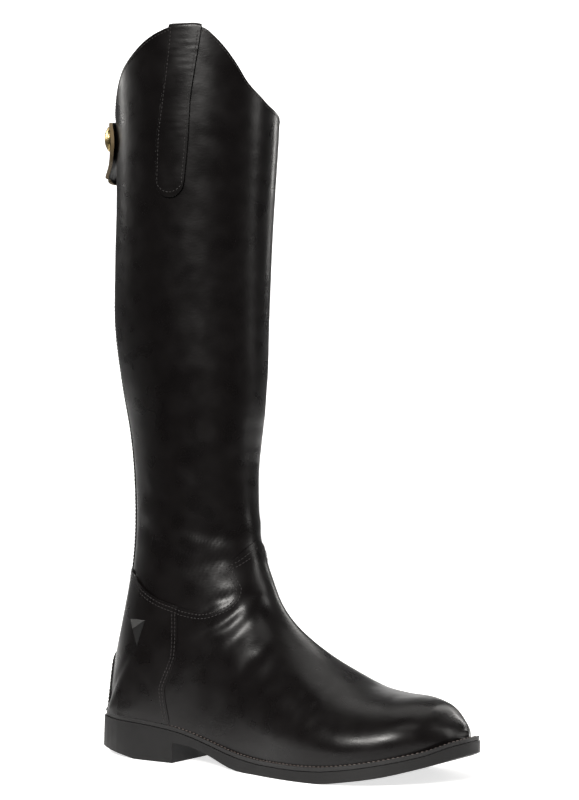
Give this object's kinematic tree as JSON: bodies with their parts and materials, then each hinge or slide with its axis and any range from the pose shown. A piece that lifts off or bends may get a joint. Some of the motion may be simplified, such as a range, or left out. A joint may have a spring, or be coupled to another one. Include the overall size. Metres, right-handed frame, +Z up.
{
  "type": "tall riding boot",
  "caption": "Tall black dress riding boot for the right foot: high-sided collar, back zip under a snapped flap, elastic gusset, pull strap and low heel.",
  "frame": {"origin": "centre of the heel's flat ground face, on the ground plane", "axes": "+X points to the toe, +Z up, +Y to the inner (medial) side of this right boot"},
  "size_m": [0.2727, 0.1019, 0.47],
  "materials": {
    "upper_leather": "smooth polished black calf with soft creases",
    "insole_leather": "matte tan lining leather",
    "welt_leather": "black edge-dressed welt",
    "sole_rubber": "matte dark grey-black rubber",
    "zip_tape_cloth": "matte woven black tape",
    "zip_nylon": "satin black nylon coil",
    "elastic_cloth": "ribbed black elastic",
    "snap_brass": "satin brass"
  },
  "bodies": {
    "root": {"upper": "upper_leather", "insole": "insole_leather", "welt": "welt_leather", "outsole": "sole_rubber", "heel_patch": "upper_leather", "pull_strap": "upper_leather", "zip_tape": "zip_tape_cloth", "zip_coil": "zip_nylon", "zip_facing_lateral": "upper_leather", "zip_facing_medial": "upper_leather", "elastic_gusset": "elastic_cloth", "closure_flap": "upper_leather", "snap_cap": "snap_brass", "spur_rest_lateral": "upper_leather", "spur_rest_medial": "upper_leather"}
  },
  "joints": []
}
